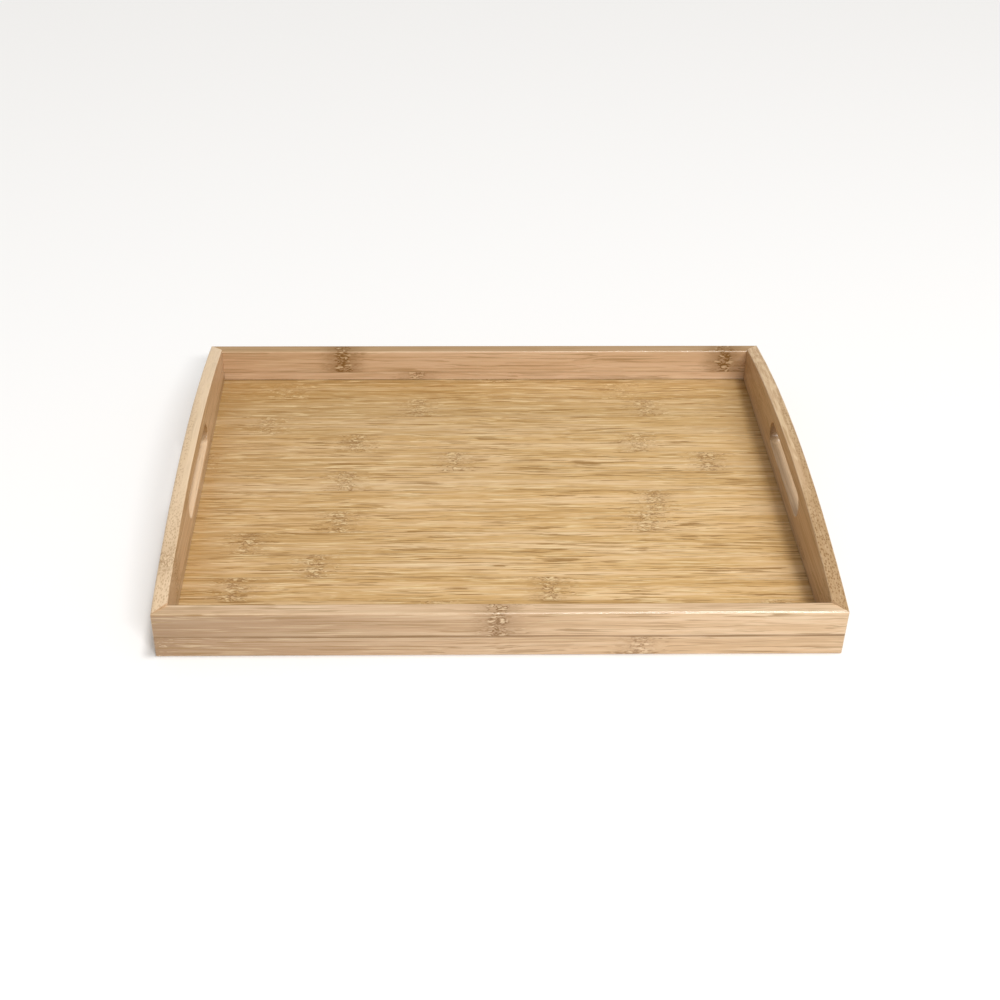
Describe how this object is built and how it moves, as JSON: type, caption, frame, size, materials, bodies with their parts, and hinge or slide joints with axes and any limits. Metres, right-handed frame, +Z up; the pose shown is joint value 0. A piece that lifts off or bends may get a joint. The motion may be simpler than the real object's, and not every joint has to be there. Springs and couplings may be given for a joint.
{
  "type": "serving tray",
  "caption": "Rectangular bamboo serving tray with mitred rails, arched end rails with hand slots, and a strip-laminated floor held in grooves.",
  "frame": {"origin": "on the surface the tray stands on, under the middle of the tray", "axes": "+X along the long rails towards the right end rail, +Y from the front rail to the back rail, +Z up"},
  "size_m": [0.42, 0.321, 0.0484],
  "materials": {
    "rail_bamboo": "satin clear lacquer",
    "floor_bamboo": "satin clear lacquer",
    "spline_bamboo": "raw sawn"
  },
  "bodies": {
    "root": {"front_rail_lower_strip": "rail_bamboo", "front_rail_upper_strip": "rail_bamboo", "back_rail_lower_strip": "rail_bamboo", "back_rail_upper_strip": "rail_bamboo", "left_end_lower_strip": "rail_bamboo", "left_end_middle_strip": "rail_bamboo", "left_end_cap_strip": "rail_bamboo", "right_end_lower_strip": "rail_bamboo", "right_end_middle_strip": "rail_bamboo", "right_end_cap_strip": "rail_bamboo", "floor_strip_01": "floor_bamboo", "floor_strip_02": "floor_bamboo", "floor_strip_03": "floor_bamboo", "floor_strip_04": "floor_bamboo", "floor_strip_05": "floor_bamboo", "floor_strip_06": "floor_bamboo", "floor_strip_07": "floor_bamboo", "floor_strip_08": "floor_bamboo", "floor_strip_09": "floor_bamboo", "floor_strip_10": "floor_bamboo", "floor_strip_11": "floor_bamboo", "floor_strip_12": "floor_bamboo", "floor_strip_13": "floor_bamboo", "floor_strip_14": "floor_bamboo", "front_left_corner_spline": "spline_bamboo", "front_right_corner_spline": "spline_bamboo", "back_left_corner_spline": "spline_bamboo", "back_right_corner_spline": "spline_bamboo"}
  },
  "joints": []
}
